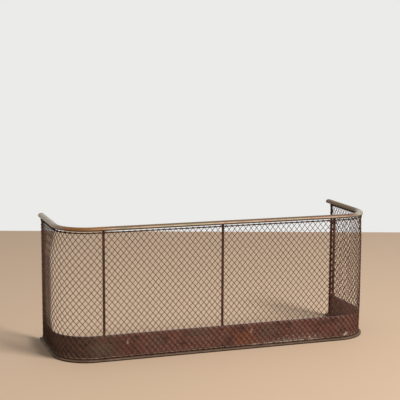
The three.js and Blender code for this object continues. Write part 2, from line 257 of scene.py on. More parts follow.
# one ragged patch at a place on the object
def makePatch():
    group, given, result = newGroup("raggedPatch", [
        ("Centre", "Vector", (0, 0, 0)), ("Reach", "Vector", (0.05, 0.05, 0.05)),
        ("Ragged", "Float", 0.6), ("Scale", "Float", 60.0), ("Soft", "Float", 0.2),
    ], "Mask")
    place = addNode(group, "TexCoord").outputs["Object"]
    away = addNode(group, "VectorMath", {0: place, 1: given["Centre"]}, operation="SUBTRACT")
    shares = addNode(group, "VectorMath", {0: away.outputs[0], 1: given["Reach"]}, operation="DIVIDE")
    distance = addNode(group, "VectorMath", {0: shares.outputs[0]}, operation="LENGTH")
    cloud = addNode(group, "TexNoise", {"Vector": place, "Scale": given["Scale"], "Detail": 4.0})
    centred = calculate(group, "SUBTRACT", cloud.outputs[0], 0.5)
    ragged = calculate(group, "MULTIPLY", centred, given["Ragged"])
    edge = calculate(group, "ADD", distance.outputs["Value"], ragged)
    clearFrom = calculate(group, "ADD", 1.0, given["Soft"])
    fullFrom = calculate(group, "SUBTRACT", 1.0, given["Soft"])
    group.links.new(smoothShare(group, edge, clearFrom, fullFrom), result.inputs["Mask"])
    return group


# fine pits and grain of old metal, as a height
def makePits():
    group, given, result = newGroup("oldMetalPits", [
        ("Scale", "Float", 300.0), ("Pits", "Float", 0.5),
    ], "Height")
    place = addNode(group, "TexCoord").outputs["Object"]
    grain = addNode(group, "TexNoise", {"Vector": place, "Scale": given["Scale"], "Detail": 4.0})
    cells = addNode(group, "TexVoronoi", {"Vector": place, "Scale": given["Scale"]})
    pits = smoothShare(group, cells.outputs["Distance"], 0.0, 0.35)
    sunk = calculate(group, "MULTIPLY", pits, given["Pits"])
    height = calculate(group, "ADD", grain.outputs[0], sunk)
    group.links.new(height, result.inputs["Height"])
    return group


# how much a face looks one way (1) or away from it (0)
def makeFacing():
    group, given, result = newGroup("facingWay", [
        ("Way", "Vector", (0, 0, 1)), ("From", "Float", -0.2), ("To", "Float", 0.9),
    ], "Mask")
    normal = addNode(group, "TexCoord").outputs["Normal"]
    facing = addNode(group, "VectorMath", {0: normal, 1: given["Way"]}, operation="DOT_PRODUCT")
    mask = smoothShare(group, facing.outputs["Value"], given["From"], given["To"])
    group.links.new(mask, result.inputs["Mask"])
    return group


# dust and scuffs that gather near the floor, on what looks up; the same mask also paints those upward
# faces lighter, as painted light from above
def makeDustAndTopLight():
    group, given, result = newGroup("floorDustAndTopLight", [
        ("Clear", "Float", 0.022), ("Full", "Float", 0.012), ("Scale", "Float", 90.0),
    ], "Mask")
    place = addNode(group, "TexCoord").outputs
    level = addNode(group, "SeparateXYZ", {0: place["Object"]}).outputs["Z"]
    low = smoothShare(group, level, given["Clear"], given["Full"])
    upward = addNode(group, "SeparateXYZ", {0: place["Normal"]}).outputs["Z"]
    resting = smoothShare(group, upward, -0.2, 0.6)
    cloud = addNode(group, "TexNoise", {"Vector": place["Object"], "Scale": given["Scale"]})
    patchy = smoothShare(group, cloud.outputs[0], 0.3, 0.6)
    group.links.new(overlap(group, low, resting, patchy), result.inputs["Mask"])
    return group


mottleGroup = makeMottle()
patchGroup = makePatch()
pitsGroup = makePits()
facingGroup = makeFacing()
dustAndTopLightGroup = makeDustAndTopLight()


def useGroup(tree, group, **values):
    node = tree.nodes.new("ShaderNodeGroup")
    node.node_tree = group
    for label, value in values.items():
        node.inputs[label].default_value = value
    return node.outputs[0]


def newMaterial(name):
    material = bpy.data.materials.new(name)
    material.use_nodes = True
    tree = material.node_tree
    return material, tree, tree.nodes["Principled BSDF"]


def joinShader(tree, shader, colour, roughness, height, depth, strength):
    tree.links.new(colour, shader.inputs["Base Color"])
    tree.links.new(roughness, shader.inputs["Roughness"])
    bump = addNode(tree, "Bump", {"Strength": strength, "Distance": depth, "Height": height})
    tree.links.new(bump.outputs[0], shader.inputs["Normal"])


def makeBrass():
    look = {
        "olive": paint(98, 84, 46),
        "brown": paint(112, 70, 42),
        "amber": paint(123, 79, 24),
        # painted highlight: the next colour is laid along the rail's front band, where the floor
        # would be reflected, broken up where rubbed
        "wearAndHighlight": paint(143, 124, 104),
        # painted reflection: the next colour pales the left side and the right corner, as if they
        # reflected bright surroundings
        "paintedReflection": paint(182, 172, 158),
        # painted shade: the next colour darkens the rail's upward-facing top
        "top": paint(88, 68, 44),
        "spots": paint(78, 56, 38),
        # painted shade: the next colour darkens the faces that look down
        "paintedUnderShade": paint(46, 34, 24),
        "streakShare": 0.4,
        "highlightBandShare": (0.32, 0.8),  # where it is little and much rubbed
        "highlightBandLeft": 0.05,  # of that, in the left corner
        "highlightBandRight": 0.15,  # of that, on the right side
        "tonedRoughness": 0.5,
        "wearAndHighlightRoughness": 0.42,
        "tonedMetal": 0.2,
        "highlightBandMetal": 0.6,
    }
    material, tree, shader = newMaterial("agedBrass")
    warm = useGroup(tree, mottleGroup, Scale=11.0, From=0.4, To=0.6)
    colour = mixColour(tree, warm, look["olive"], look["brown"])
    # painted shade: upward faces are darkened by half with the top colour
    upward = useGroup(tree, facingGroup, From=0.5, To=0.75)
    colour = layOver(tree, colour, upward, look["top"], share=0.5)
    leftCorner = useGroup(tree, patchGroup, Centre=(-0.43, -0.14, 0.4), Reach=(0.07, 0.07, 0.1),
                          Soft=0.3)
    streaks = useGroup(tree, mottleGroup, Scale=7.0, From=0.54, To=0.66)
    amber = calculate(tree, "MAXIMUM", leftCorner, overlap(tree, streaks, look["streakShare"]))
    colour = layOver(tree, colour, amber, look["amber"])
    above = useGroup(tree, facingGroup, From=0.0, To=0.12)
    below = useGroup(tree, facingGroup, From=0.65, To=0.45)
    rubbed = useGroup(tree, mottleGroup, Scale=30.0, From=0.3, To=0.6)
    rightSide = useGroup(tree, patchGroup, Centre=(0.5, 0.06, 0.4), Reach=(0.05, 0.17, 0.1))
    # painted highlight: the front band between the darkened top and the darkened underside is paled,
    # less where little rubbed, hardly at all in the left corner and much less on the right side; it
    # is also made smoother and more metallic there
    front = overlap(
        tree, above, below, mixValue(tree, rubbed, *look["highlightBandShare"]),
        mixValue(tree, leftCorner, 1.0, look["highlightBandLeft"]),
        mixValue(tree, rightSide, 1.0, look["highlightBandRight"]),
    )
    colour = layOver(tree, colour, front, look["wearAndHighlight"])
    # painted reflection: the left side and the right corner are paled, as if they reflected bright
    # surroundings
    leftSide = useGroup(tree, patchGroup, Centre=(-0.5, 0.09, 0.4), Reach=(0.06, 0.17, 0.1),
                        Soft=0.4)
    rightCorner = useGroup(tree, patchGroup, Centre=(0.48, -0.11, 0.4), Reach=(0.05, 0.05, 0.1),
                           Soft=0.5)
    sides = calculate(tree, "MAXIMUM", leftSide, rightCorner)
    colour = layOver(tree, colour, sides, look["paintedReflection"], share=0.7)
    spots = useGroup(tree, mottleGroup, Scale=85.0, From=0.57, To=0.68)
    colour = layOver(tree, colour, spots, look["spots"], share=0.6)
    # painted shade: the rail's underside is darkened
    shadedUnderside = useGroup(tree, facingGroup, From=0.1, To=-0.15)
    colour = layOver(tree, colour, shadedUnderside, look["paintedUnderShade"])
    roughness = mixValue(tree, front, look["tonedRoughness"], look["wearAndHighlightRoughness"])
    metallic = mixValue(tree, front, look["tonedMetal"], look["highlightBandMetal"])
    tree.links.new(metallic, shader.inputs["Metallic"])
    height = useGroup(tree, pitsGroup, Scale=260.0, Pits=0.3)
    joinShader(tree, shader, colour, roughness, height, depth=0.2 * millimetre, strength=0.35)
    return material


def makeBarIron():
    look = {
        "brown": paint(70, 42, 31),
        "rust": paint(106, 58, 38),
        "black": paint(40, 28, 22),
        "paintedRoughness": 0.5,
        "rustRoughness": 0.8,
        "specular": 0.35,
    }
    material, tree, shader = newMaterial("oldBarIron")
    rust = useGroup(tree, mottleGroup, Scale=45.0, From=0.45, To=0.65)
    colour = mixColour(tree, rust, look["brown"], look["rust"])
    wearAndHighlight = useGroup(tree, mottleGroup, Scale=110.0, From=0.5, To=0.62)
    colour = layOver(tree, colour, wearAndHighlight, look["black"])
    roughness = mixValue(tree, rust, look["paintedRoughness"], look["rustRoughness"])
    height = useGroup(tree, pitsGroup, Scale=500.0, Pits=0.6)
    joinShader(tree, shader, colour, roughness, height, depth=0.2 * millimetre, strength=0.6)
    shader.inputs["Specular IOR Level"].default_value = look["specular"]
    return material


# each hand of wire has a brown of its own, as painted light and shade: the rising hand is painted
# lighter and the falling hand darker, as the key lamp lights them; the rods have a third
def makeWireIron(name, brown, rust):
    look = {
        "bare": paint(108, 82, 60),
        # painted highlight: the next colour lightens the wires at the left corner, where glints show
        "leftCornerGlint": paint(106, 79, 60),
        "dustAndTopLight": paint(140, 110, 92),
        "scraped": paint(166, 148, 132),
        "rustRoughness": 0.55,
        "leftCornerGlintRoughness": 0.3,
        "specular": 0.2,
    }
    material, tree, shader = newMaterial(name)
    rusty = useGroup(tree, mottleGroup, Scale=32.0, From=0.42, To=0.68)
    colour = mixColour(tree, rusty, brown, rust)
    rubbed = useGroup(tree, mottleGroup, Scale=170.0, From=0.56, To=0.7)
    colour = layOver(tree, colour, rubbed, look["bare"])
    # painted highlight: the wires at the left corner are painted lighter where glints show, and made
    # smoother so that real glints show as well
    leftCornerGlint = useGroup(tree, patchGroup, Centre=(-0.46, -0.15, 0.04), Reach=(0.13, 0.12, 0.06),
                       Soft=0.5)
    colour = layOver(tree, colour, leftCornerGlint, look["leftCornerGlint"])
    # dust near the floor, which also paints upward faces lighter as painted light from above
    dustAndTopLight = useGroup(tree, dustAndTopLightGroup, Clear=0.022, Full=0.014)
    colour = layOver(tree, colour, dustAndTopLight, look["dustAndTopLight"])
    rightFoot = useGroup(tree, patchGroup, Centre=(0.21, -0.155, 0.009), Reach=(0.12, 0.03, 0.01),
                         Soft=0.3)
    scrapes = useGroup(tree, mottleGroup, Scale=110.0, From=0.44, To=0.56)
    colour = layOver(tree, colour, overlap(tree, rightFoot, scrapes), look["scraped"])
    roughness = mixValue(tree, leftCornerGlint, look["rustRoughness"], look["leftCornerGlintRoughness"])
    height = useGroup(tree, pitsGroup, Scale=900.0, Pits=0.4)
    joinShader(tree, shader, colour, roughness, height, depth=0.1 * millimetre, strength=0.5)
    shader.inputs["Specular IOR Level"].default_value = look["specular"]
    return material


def makeSkirtPaint():
    look = {
        "maroon": paint(117, 76, 65),
        "red": paint(100, 53, 41),
        "soot": paint(60, 42, 33),
        "black": paint(52, 29, 21),
        "grey": paint(94, 79, 67),
        "rust": paint(146, 86, 54),
        "scuff": paint(172, 150, 134),
        "chip": paint(214, 194, 176),
        # how thick the painted shade on the skirt's left corner lies
        "cornerShadeShare": (0.95, 0.65),  # between the clouds and in them
        "paintRoughness": 0.55,
        "sootRoughness": 0.8,
        "greyPatches": (
            ((-0.077, -0.15, 0.065), (0.035, 0.1, 0.016)),
            ((-0.212, -0.15, 0.048), (0.02, 0.1, 0.02)),
            ((0.153, -0.15, 0.047), (0.04, 0.1, 0.02)),
            ((-0.378, -0.15, 0.035), (0.035, 0.1, 0.022)),
        ),
        "chips": (
            ((0.4165, -0.1485, 0.0148), (0.0062, 0.005, 0.0045), 1.0),
            ((0.4265, -0.146, 0.0185), (0.0038, 0.005, 0.0035), 0.9),
            ((0.421, -0.1475, 0.0225), (0.0035, 0.005, 0.002), 0.7),
            ((0.0955, -0.1503, 0.053), (0.0033, 0.005, 0.007), 0.7),
            ((0.291, -0.1503, 0.018), (0.004, 0.005, 0.003), 0.5),
            ((-0.3, -0.1503, 0.0528), (0.0035, 0.005, 0.009), 0.4),
        ),
    }
    material, tree, shader = newMaterial("rubbedMaroonPaint")
    red = useGroup(tree, mottleGroup, Scale=14.0, From=0.4, To=0.65)
    colour = mixColour(tree, red, look["maroon"], look["red"])
    soot = useGroup(tree, mottleGroup, Scale=26.0, From=0.5, To=0.7)
    colour = layOver(tree, colour, soot, look["soot"])
    # painted shade: the left corner, which faces away from the key lamp, is darkened nearly to black,
    # a little less in cloudy patches
    leftCorner = useGroup(tree, patchGroup, Centre=(-0.5, -0.1, 0.04), Reach=(0.17, 0.3, 0.2),
                          Scale=20.0, Soft=0.6)
    clouds = useGroup(tree, mottleGroup, Scale=24.0, From=0.4, To=0.6)
    shadedLeftCorner = overlap(tree, leftCorner, mixValue(tree, clouds, *look["cornerShadeShare"]))
    colour = layOver(tree, colour, shadedLeftCorner, look["black"])
    for centre, reach in look["greyPatches"]:
        grey = useGroup(tree, patchGroup, Centre=centre, Reach=reach, Soft=0.6)
        colour = layOver(tree, colour, grey, look["grey"], share=0.6)
    # painted shade: the inner face of the right side, which faces away from the key lamp, is darkened
    # by half with the soot colour
    shadedInsideRight = useGroup(tree, patchGroup, Centre=(0.4945, 0.09, 0.05), Reach=(0.0028, 0.15, 0.3),
                           Ragged=0.2)
    colour = layOver(tree, colour, shadedInsideRight, look["soot"], share=0.5)
    rusty = useGroup(tree, patchGroup, Centre=(0.074, -0.15, 0.03), Reach=(0.035, 0.1, 0.026),
                     Soft=0.5)
    freckles = useGroup(tree, mottleGroup, Scale=120.0, From=0.6, To=0.7)
    rust = calculate(tree, "MAXIMUM", rusty, freckles)
    colour = layOver(tree, colour, rust, look["rust"], share=0.45)
    outside = useGroup(tree, facingGroup, Way=(0, -1, 0), From=0.2, To=0.5)
    scuffed = useGroup(tree, patchGroup, Centre=(0.245, -0.15, 0.015), Reach=(0.085, 0.01, 0.015))
    scratches = useGroup(tree, mottleGroup, Stretch=(1, 1, 4), Scale=120.0, From=0.48, To=0.6)
    scuffs = overlap(tree, scuffed, scratches, outside)
    colour = layOver(tree, colour, scuffs, look["scuff"], share=0.7)
    chips = 0.0
    for centre, reach, strength in look["chips"]:
        chip = useGroup(tree, patchGroup, Centre=centre, Reach=reach, Scale=400.0)
        chips = calculate(tree, "MAXIMUM", overlap(tree, chip, strength), chips)
    colour = layOver(tree, colour, overlap(tree, chips, outside), look["chip"])
    lip = useGroup(tree, facingGroup, From=0.5, To=0.8)
    colour = layOver(tree, colour, lip, look["black"], share=0.8)
    roughness = mixValue(tree, soot, look["paintRoughness"], look["sootRoughness"])
    height = useGroup(tree, pitsGroup, Scale=220.0, Pits=0.5)
    joinShader(tree, shader, colour, roughness, height, depth=0.3 * millimetre, strength=0.5)
    return material


def makeFootIron():
    look = {
        "olive": paint(80, 60, 41),
        "brown": paint(76, 51, 37),
        "bright": paint(106, 83, 60),
        "dustAndTopLight": paint(110, 85, 67),
        "black": paint(46, 35, 26),
        "dullRoughness": 0.65,
        "wearAndHighlightRoughness": 0.5,
        "specular": 0.35,
    }
    material, tree, shader = newMaterial("footIron")
    brown = useGroup(tree, mottleGroup, Scale=16.0, From=0.45, To=0.62)
    colour = mixColour(tree, brown, look["olive"], look["brown"])
    wearAndHighlight = useGroup(tree, mottleGroup, Scale=60.0, From=0.5, To=0.7)
    colour = layOver(tree, colour, wearAndHighlight, look["bright"], share=0.6)
    # dust near the floor, which also paints the foot's upward faces lighter as painted light from
    # above
    dustAndTopLight = useGroup(tree, dustAndTopLightGroup, Clear=0.02, Full=0.01, Scale=40.0)
    colour = layOver(tree, colour, dustAndTopLight, look["dustAndTopLight"], share=0.45)
    # painted shade: the nose and underside, which look down, are darkened towards black
    shadedUnderside = useGroup(tree, facingGroup, From=0.35, To=-0.4)
    colour = layOver(tree, colour, shadedUnderside, look["black"])
    roughness = mixValue(tree, wearAndHighlight, look["dullRoughness"], look["wearAndHighlightRoughness"])
    height = useGroup(tree, pitsGroup, Scale=350.0, Pits=0.6)
    joinShader(tree, shader, colour, roughness, height, depth=0.3 * millimetre, strength=0.6)
    shader.inputs["Specular IOR Level"].default_value = look["specular"]
    return material


brass = makeBrass()
barIron = makeBarIron()
wireIron = makeWireIron("rustyWire", paint(72, 45, 31), paint(100, 60, 38))
# painted light and shade: the rising wires get a lighter brown and the falling wires a darker one
litHandWire = makeWireIron("litHandWire", paint(88, 56, 42), paint(112, 70, 48))
shadedHandWire = makeWireIron("shadedHandWire", paint(58, 35, 24), paint(84, 48, 30))
skirtPaint = makeSkirtPaint()
footIron = makeFootIron()
print("finishes made")


def makeRail():
    low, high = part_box("brass_top_rail")
    rail = {
        "width": 21 * millimetre,
        "height": high.z - low.z,
        "edgeRadius": 3 * millimetre,
        "wall": 1.2 * millimetre,
        "slotWidth": 11 * millimetre,
        "domeSteps": 16,
        "edgeSteps": 4,
        "dentScale": 14,
        "dentDepth": 0.2 * millimetre,
        "mergeWithin": 0.01 * millimetre,
    }
    half, edge = rail["width"] / 2, rail["edgeRadius"]
    inset = low.y - plan["frontY"] + half
    bm = bmesh.new()
    dome = bmesh.ops.create_circle(bm, segments=2 * rail["domeSteps"], radius=1)["verts"]
    bmesh.ops.rotate(bm, verts=dome, cent=(0, 0, 0), matrix=Matrix.Rotation(math.pi / 2, 3, "X"))
    bmesh.ops.scale(bm, verts=dome, vec=(half, 1, rail["height"] - edge))
    below = [vert for vert in dome if vert.co.z < -rail["mergeWithin"]]
    bmesh.ops.delete(bm, geom=below, context="VERTS")
    bmesh.ops.translate(bm, verts=bm.verts, vec=(0, 0, edge))
    for side in (-1, 1):
        last = max(bm.verts, key=lambda vert: (side * vert.co.x, -vert.co.z))
        turned = bmesh.ops.spin(
            bm, geom=[last], cent=(side * (half - edge), 0, edge), axis=(0, 1, 0),
            angle=side * math.pi / 2, steps=rail["edgeSteps"], use_merge=False,
        )
        lip = bmesh.ops.extrude_vert_indiv(bm, verts=vertsOf(turned["geom_last"]))["verts"]
        inward = rail["slotWidth"] / 2 - (half - edge)
        bmesh.ops.translate(bm, verts=lip, vec=(side * inward, 0, 0))
    bmesh.ops.remove_doubles(bm, verts=bm.verts, dist=rail["mergeWithin"])
    bmesh.ops.translate(bm, verts=bm.verts, vec=(inset, 0, low.z))
    runAlongPlan(bm, high.y)
    bmesh.ops.recalc_face_normals(bm, faces=bm.faces)
    bm.normal_update()
    for vert in bm.verts:
        dent = noise.noise(vert.co * rail["dentScale"]) * rail["dentDepth"]
        vert.co += vert.normal * min(dent, 0)
    piece = makePiece("brassRail", bm, brass, ["brass_top_rail"], sharpAngle=50)
    wall = piece.modifiers.new("wall", "SOLIDIFY")
    wall.thickness = rail["wall"]
    wall.offset = -1  # the wall grows inward
    wall.use_even_offset = True


makeRail()
print("rail made")


def makeFoot():
    foot = {
        "width": 25 * millimetre,
        "thickness": footHigh.z - footLow.z,
        "noseSteps": 4,
        "noseShare": 0.499,  # of the thickness, so that the two rounds just fail to meet
        "chamfer": 0.8 * millimetre,
        "chamferSteps": 2,
        "dentScale": 25,
        "dentDepth": 0.35 * millimetre,
        "dentsAbove": 1 / 4,  # of the thickness
    }
    outer = footLow.y - plan["frontY"]
    inner = outer + foot["width"]
    bm = bmesh.new()
    corners = [
        bm.verts.new((outer, 0, 0)),
        bm.verts.new((inner, 0, 0)),
        bm.verts.new((inner, 0, foot["thickness"])),
        bm.verts.new((outer, 0, foot["thickness"])),
    ]
    bm.faces.new(corners)
    bmesh.ops.bevel(
        bm, geom=[corners[0], corners[3]], offset=foot["thickness"] * foot["noseShare"],
        offset_type="OFFSET", segments=foot["noseSteps"], profile=0.5, affect="VERTICES", material=-1,
    )
    top = max(bm.verts, key=lambda vert: vert.co.x + vert.co.z)
    bmesh.ops.bevel(
        bm, geom=[top], offset=foot["chamfer"], offset_type="OFFSET", segments=foot["chamferSteps"],
        profile=0.5, affect="VERTICES", material=-1,
    )
    bmesh.ops.delete(bm, geom=bm.faces[:], context="FACES_ONLY")
    start, end = runAlongPlan(bm, footHigh.y)
    closeEnds(bm, start, end)
    for vert in bm.verts:
        if vert.co.z > foot["thickness"] * foot["dentsAbove"]:
            vert.co.z += min(noise.noise(vert.co * foot["dentScale"]), 0) * foot["dentDepth"]
    makePiece("foot", bm, footIron, ["base_rail"])


def facesWithin(bm, low, high, spare=0.0):
    found = []
    for face in bm.faces:
        middle = face.calc_center_median()
        if all(low[axis] - spare < middle[axis] < high[axis] + spare for axis in range(3)):
            found.append(face)
    return found


# a box is cut out of a sheet, whose faces near it are divided along the box's sides first
def cutNotch(bm, low, high):
    nearby = 30 * millimetre
    for axis in range(3):
        direction = Vector((0, 0, 0))
        direction[axis] = 1
        for place in (low, high):
            near = facesWithin(bm, low, high, nearby)
            ring = onceEach(part for face in near for part in (*face.verts, *face.edges))
            bmesh.ops.bisect_plane(bm, geom=near + ring, plane_co=place, plane_no=direction)
    bmesh.ops.delete(bm, geom=facesWithin(bm, low, high), context="FACES")


def makeSkirt():
    low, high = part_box("skirt")
    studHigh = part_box("rod_stud_bottom_left")[1]
    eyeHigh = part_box("bottom_rod")[1]
    skirt = {
        "thickness": 1.2 * millimetre,
        "rows": 9,
        "notchHalfWidth": 1.8 * millimetre,
        "notchGap": 0.6 * millimetre,
        "eyeNotch": 6.6 * millimetre,
        "cutBeyond": 10 * millimetre,
        "buckleScale": 22,
        "buckle": 0.25 * millimetre,
        "lipScale": 11,
        "lipWear": 0.5 * millimetre,
    }
    inset = low.y - plan["frontY"] + skirt["thickness"] / 2
    bm = bmesh.new()
    foot = bm.verts.new((inset, 0, low.z))
    lip = bm.verts.new((inset, 0, high.z))
    upright = bm.edges.new((foot, lip))
    bmesh.ops.subdivide_edges(bm, edges=[upright], cuts=skirt["rows"])
    runAlongPlan(bm, high.y)
    bmesh.ops.recalc_face_normals(bm, faces=bm.faces)
    bm.normal_update()
    for vert in bm.verts:
        share = (vert.co.z - low.z) / (high.z - low.z)
        fromEnd, outward = followPlan(vert.co)
        buckle = noise.noise(vert.co * skirt["buckleScale"]) * skirt["buckle"] * share
        vert.co += outward * (bellyOut(vert.co.x < 0, fromEnd, vert.co.z) + buckle)
        vert.co.z += min(noise.noise(vert.co * skirt["lipScale"]), 0) * skirt["lipWear"] * share
    beyond = skirt["cutBeyond"]
    for side in ("left", "centre", "right"):
        stayLow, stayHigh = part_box("front_stay_" + side)
        stayX = (stayLow.x + stayHigh.x) / 2
        reach = skirt["notchHalfWidth"]
        cutNotch(
            bm, Vector((stayX - reach, low.y - beyond, low.z - beyond)),
            Vector((stayX + reach, low.y + beyond, studHigh.z + skirt["notchGap"])),
        )
    for side in (-1, 1):
        edge = side * plan["halfNet"]
        cutNotch(
            bm, Vector((edge - beyond, plan["postY"] - skirt["eyeNotch"], low.z - beyond)),
            Vector((edge + beyond, plan["postY"], eyeHigh.z + skirt["notchGap"])),
        )
    piece = makePiece("skirtSheet", bm, skirtPaint, ["skirt"], sharpAngle=50)
    sheet = piece.modifiers.new("sheet", "SOLIDIFY")
    sheet.thickness = skirt["thickness"]
    sheet.offset = 0


makeFoot()
makeSkirt()
print("foot and skirt made")


# each rod ends in an eye round the rear post
def makeRod(node, name):
    low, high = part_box(node)
    radius = (high.z - low.z) / 2
    rod = {"sides": 12, "eyeInner": 4.3 * millimetre, "eyeWall": 2 * millimetre, "eyeSteps": 28}
    height = (low.z + high.z) / 2
    postX = (postLow.x + postHigh.x) / 2
    bm = bmesh.new()
    standUp = Matrix.Rotation(math.pi / 2, 3, "X")
    bmesh.ops.create_circle(bm, segments=rod["sides"], radius=radius)
    bmesh.ops.rotate(bm, verts=bm.verts, cent=(0, 0, 0), matrix=standUp)
    bmesh.ops.translate(bm, verts=bm.verts, vec=(0, 0, height))
    start, end = runAlongPlan(bm, plan["postY"] - rod["eyeInner"])
    closeEnds(bm, start, end)
    for side in (-1, 1):
        ring = bmesh.ops.create_circle(bm, segments=rod["sides"], radius=1)["verts"]
        edges = onceEach(edge for vert in ring for edge in vert.link_edges)
        bmesh.ops.rotate(bm, verts=ring, cent=(0, 0, 0), matrix=standUp)
        bmesh.ops.scale(bm, verts=ring, vec=(rod["eyeWall"] / 2, 1, radius))
        across = rod["eyeInner"] + rod["eyeWall"] / 2
        bmesh.ops.translate(bm, verts=ring, vec=(side * postX + across, plan["postY"], height))
        bmesh.ops.spin(
            bm, geom=ring + edges, cent=(side * postX, plan["postY"], height), axis=(0, 0, 1),
            angle=2 * math.pi, steps=rod["eyeSteps"], use_merge=True,
        )
    bmesh.ops.recalc_face_normals(bm, faces=bm.faces)
    makePiece(name, bm, wireIron, [node], sharpAngle=50)


makeRod("bottom_rod", "bottomRod")
makeRod("top_rod", "topRod")
print("rods made")


# the woven net is laid wire by wire
bottomRodZ = sum(corner.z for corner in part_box("bottom_rod")) / 2
topRodZ = sum(corner.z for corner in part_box("top_rod")) / 2
net = {
    "length": 2 * (plan["sideRun"] + plan["cornerArc"] + plan["cornerX"]),
    "height": topRodZ - bottomRodZ,
    "cellsRound": 83.5,
    "rows": 18,
    "firstCrossing": 0.25,
    "wireRadius": 0.9 * millimetre,
    "rodRadius": 1.8 * millimetre,
    "postRadius": 4 * millimetre,
    "postDepth": plan["halfNet"] - (postLow.x + postHigh.x) / 2,
    "flatShare": 0.2,  # of half a diamond, on each side of a crossing
    "clearShare": 0.24,  # of a diamond, beside the rear posts
    "turnStep": math.radians(40),
    "rodPoints": 10,
    "postPoints": 9,
    "postStart": math.radians(45),
    "driftScale": 14,
    "drift": 0.35 * millimetre,
    "bulgeScale": 5,
    "bulge": 0.8 * millimetre,
    "bulgesFrom": 80 * millimetre,
    "bulgesOver": 60 * millimetre,
}
net["cellWidth"] = net["length"] / net["cellsRound"]
net["cellHeight"] = net["height"] / net["rows"]
net["pitch"] = 2.1 * net["wireRadius"]  # from one turn round a rod to the next


# the nearer rear post of a place on the net, and the way to it along the net
def nearerPost(distance):
    if distance < net["length"] / 2:
        return -1, distance
    return 1, net["length"] - distance


# a place on the flat side of the net, which the wire ends round the post need beyond it too
def onSide(distance, height, depth):
    side, fromEnd = nearerPost(distance)
    level = bottomRodZ + height
    return Vector((side * (plan["halfNet"] - depth), plan["postY"] - fromEnd, level))


# a place on the net: distance along it from the left post, height over the bottom rod and
# depth inward
def onNet(distance, height, depth):
    side, fromEnd = nearerPost(distance)
    level = bottomRodZ + height
    depth -= bellyOut(side < 0, fromEnd, level)
    pastSide = fromEnd - plan["sideRun"]
    if pastSide < 0:
        return onSide(distance, height, depth)
    if pastSide < plan["cornerArc"]:
        turn = pastSide / plan["cornerRadius"]
        radius = plan["cornerRadius"] - depth
        acrossX = side * (plan["cornerX"] + radius * math.cos(turn))
        return Vector((acrossX, plan["cornerY"] - radius * math.sin(turn), level))
    acrossX = side * (plan["cornerX"] + plan["cornerArc"] - pastSide)
    return Vector((acrossX, plan["frontY"] + depth, level))


# a hand-made net is never quite even: both hands of wire drift together, and the middle of
# the net is a little out of flat
def drifted(distance, height, depth):
    share = height / net["height"]
    middle = max(0.0, 4 * share * (1 - share))  # 1 halfway up and 0 at the rods
    aboveSkirt = min(max((height - net["bulgesFrom"]) / net["bulgesOver"], 0.0), 1.0)

    def unevenness(scale, layer):
        return noise.noise((distance * scale, height * scale, layer)) * middle

    along = unevenness(net["driftScale"], 1.5) * net["drift"]
    up = unevenness(net["driftScale"], 7.5) * net["drift"]
    bulge = unevenness(net["bulgeScale"], 3.5) * net["bulge"] * aboveSkirt
    return onNet(distance + along, height + up, depth + bulge)


# the end of a wire is turned round a rod, away from the other wire that ends there
def rodEnd(distance, level, upward, outward):
    radius = net["rodRadius"] + net["wireRadius"]
    points = []
    for step in range(net["rodPoints"]):
        turn = step * net["turnStep"]
        along = net["wireRadius"] + net["pitch"] * turn / (2 * math.pi)
        points.append(onNet(
            distance + outward * along, level + upward * radius * math.sin(turn),
            -radius * math.cos(turn),
        ))
    return points


# at the rear ends it is turned round the post
def postEnd(height, atLeft, rising):
    radius = net["postRadius"] + net["wireRadius"]
    slope = net["cellHeight"] / net["cellWidth"]
    points = []
    for step in range(net["postPoints"]):
        turn = net["postStart"] - step * net["turnStep"]
        away = radius * math.sin(turn)
        climb = slope * away if turn > 0 else net["pitch"] * turn / (2 * math.pi)
        distance = away if atLeft else net["length"] - away
        depth = net["postDepth"] - radius * math.cos(turn)
        points.append(onSide(distance, height + rising * climb, depth))
    return points


# one wire from its lower to its upper end, over and under the wires of the other hand; hand is
# 1 for wires that rise to the right and -1 for those that fall
def wirePoints(hand, number):
    slope = hand * net["cellWidth"] / net["cellHeight"]
    start = (net["firstCrossing"] + number) * net["cellWidth"]
    if hand > 0:
        low = max(0.0, -start / slope)
        high = min(net["height"], (net["length"] - start) / slope)
    else:
        low = max(0.0, (net["length"] - start) / slope)
        high = min(net["height"], -start / slope)
    clear = net["cellWidth"] * net["clearShare"]
    half = net["cellHeight"] / 2
    first = math.floor(low / half) + 1
    last = math.ceil(high / half) - 1
    points = []
    if low == 0:
        points += reversed(rodEnd(start, 0.0, -1, hand))
    else:
        points += reversed(postEnd(low, hand > 0, 1))
    for crossing in range(first, last + 1):
        over = -1 if (crossing % 2 == 0) == (hand > 0) else 1
        shares = (-net["flatShare"], net["flatShare"])
        if low > 0 and crossing == first:
            shares = (0, net["flatShare"])
        if high < net["height"] and crossing == last:
            shares = (-net["flatShare"], 0)
        for share in shares:
            height = (crossing + share) * half
            distance = start + slope * height
            if clear < distance < net["length"] - clear:
                points.append(drifted(distance, height, over * net["wireRadius"]))
    if high >= net["height"] - half / 100:
        points += rodEnd(start + slope * net["height"], net["height"], 1, -hand)
    else:
        points += postEnd(high, hand < 0, -1)
    return points


